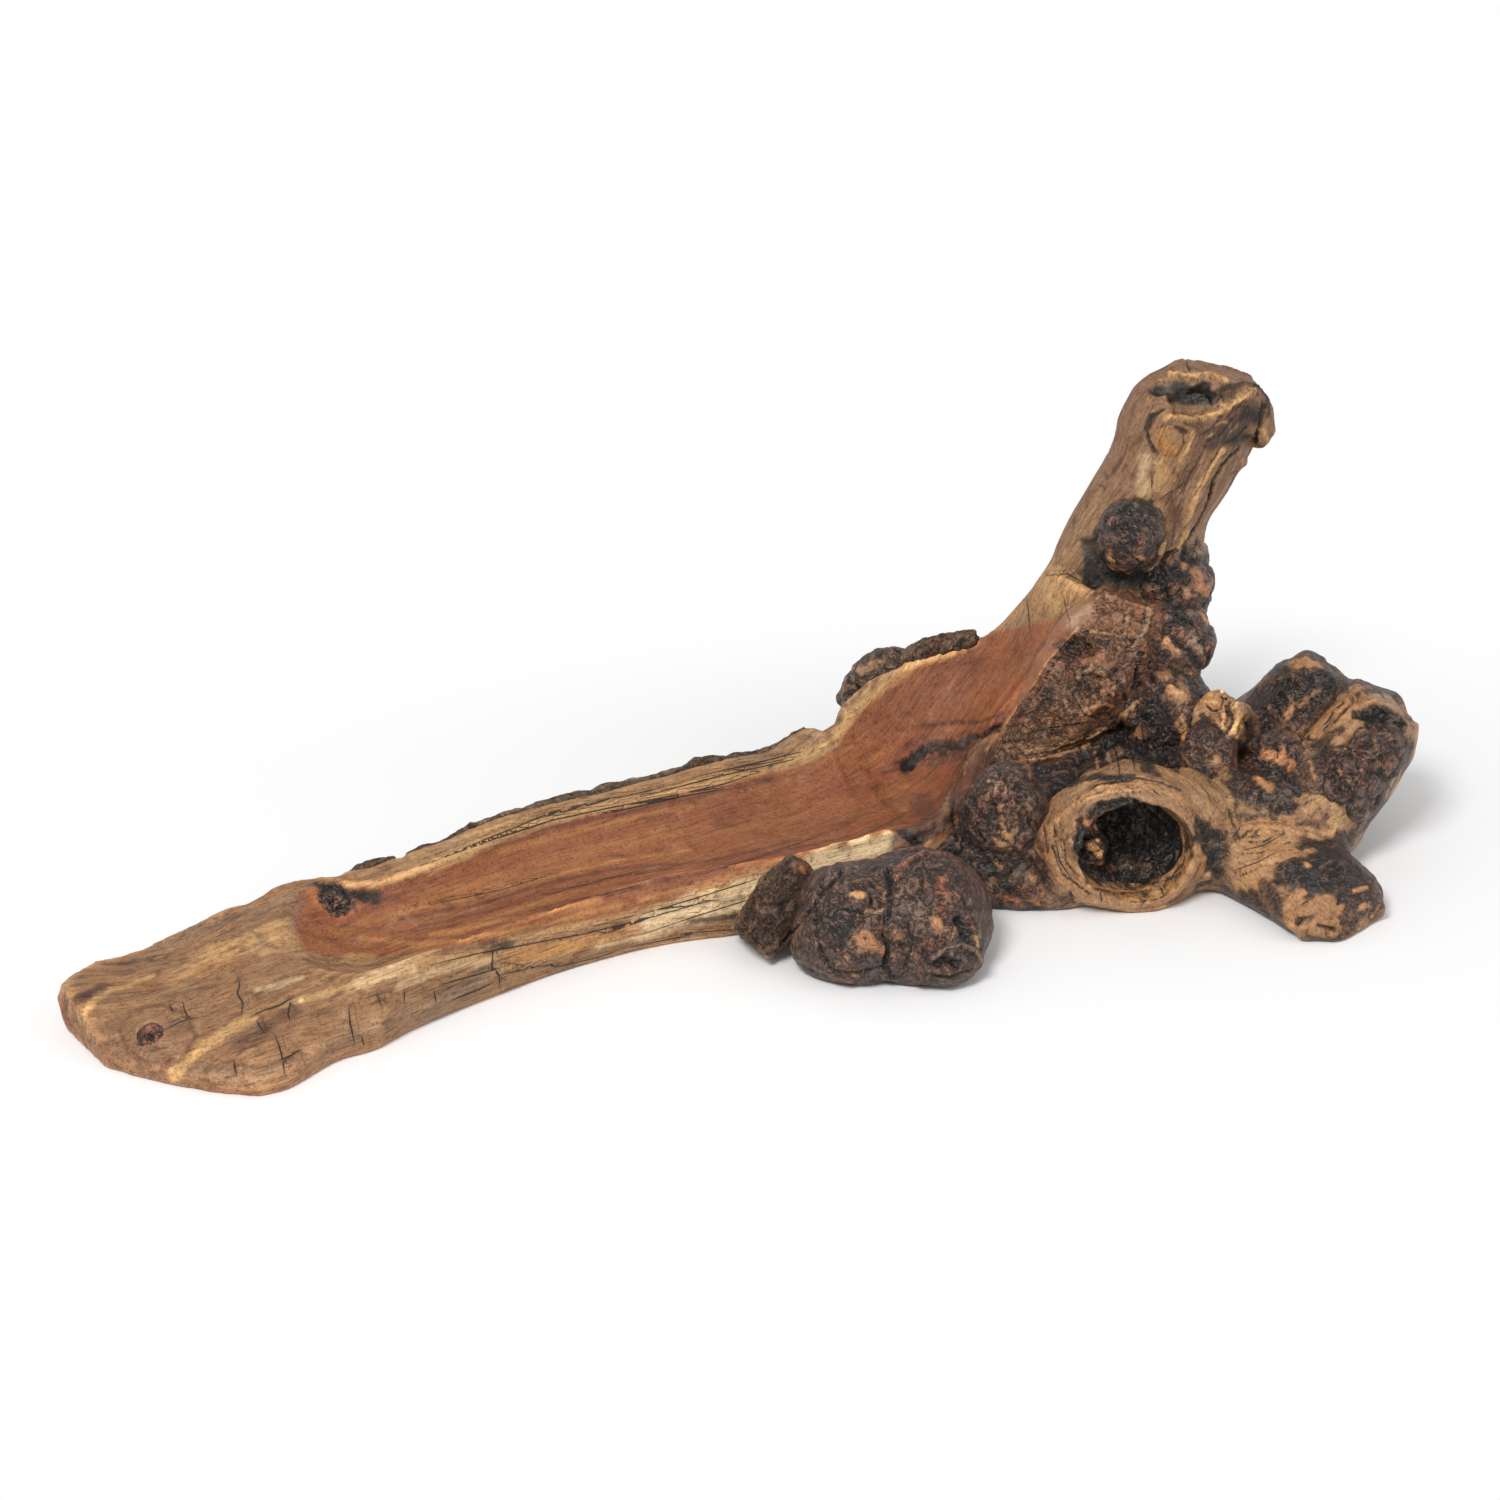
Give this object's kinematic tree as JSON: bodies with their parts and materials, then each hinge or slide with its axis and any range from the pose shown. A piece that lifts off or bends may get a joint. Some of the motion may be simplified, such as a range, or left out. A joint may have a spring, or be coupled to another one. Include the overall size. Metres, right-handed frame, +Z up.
{
  "type": "incense burner",
  "caption": "Root-wood incense burner: a board with a scooped ash trough sweeps up into a gnarled crown, with a drilled hole that holds one stick leaning over the trough.",
  "frame": {"origin": "Middle of the bounding box in plan, on the flat sawn underside that rests on the table.", "axes": "+X along the length, from the board's thin tip towards the root crown and its arms; +Y towards the rim that keeps its bark; +Z up."},
  "size_m": [0.4667, 0.1791, 0.151],
  "materials": {
    "heartwood": "oiled satin",
    "sapwood": "smooth satin",
    "crown_wood": "rough, dark, half gloss",
    "burl": "knobbly, oiled",
    "bark": "rough matt bark",
    "char": "black, charred",
    "cut_end": "cut end grain"
  },
  "bodies": {
    "root": {"trough_board": "heartwood", "scoop": "heartwood", "root_crown": "crown_wood", "raised_stem": "sapwood", "ridge_slab": "burl", "stem_burl": "char", "stem_base_burl": "burl", "crown_burl_upper": "burl", "crown_burl_lower": "burl", "mid_burl": "burl", "front_burl_left": "bark", "front_burl_right": "bark", "front_bark_plate": "bark", "petal_burl": "bark", "hollow_boss": "sapwood", "hollow_eye": "burl", "twig_stub": "cut_end", "smooth_knob": "burl", "rear_arm": "char", "side_arm": "sapwood", "side_arm_burl": "burl", "side_arm_eye": "burl", "arm_knob": "burl", "foot_root": "sapwood", "rear_hump": "bark", "rim_bark_long": "bark", "rim_bark_short": "bark", "rim_bark_flap": "bark", "trough_end_knot": "char", "tip_knot": "char"}
  },
  "joints": []
}
